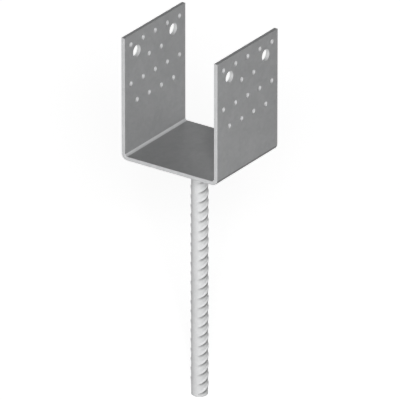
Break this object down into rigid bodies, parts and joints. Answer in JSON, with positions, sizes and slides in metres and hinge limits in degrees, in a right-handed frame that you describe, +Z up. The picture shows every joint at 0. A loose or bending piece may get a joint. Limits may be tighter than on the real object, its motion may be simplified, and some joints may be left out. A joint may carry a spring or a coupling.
{
  "type": "timber post base",
  "caption": "U-shaped folded steel post base with nail and bolt holes in both cheeks, on a ribbed bar to be cast into a concrete footing.",
  "frame": {"origin": "centre of the seat, on the upper face of the base plate where the post stands", "axes": "+Z up the post and the cheeks, +X across the post from cheek to cheek, +Y along the cheeks; the bar hangs along -Z"},
  "size_m": [0.109, 0.1, 0.375],
  "materials": {
    "bracket_steel": "hot-dip galvanised, matt with faint spangle",
    "bar_steel": "hot-dip galvanised, matt",
    "weld": "weld bead under zinc"
  },
  "bodies": {
    "root": {"u_bracket": "bracket_steel", "anchor_rod": "bar_steel", "weld_fillet": "weld"}
  },
  "joints": []
}
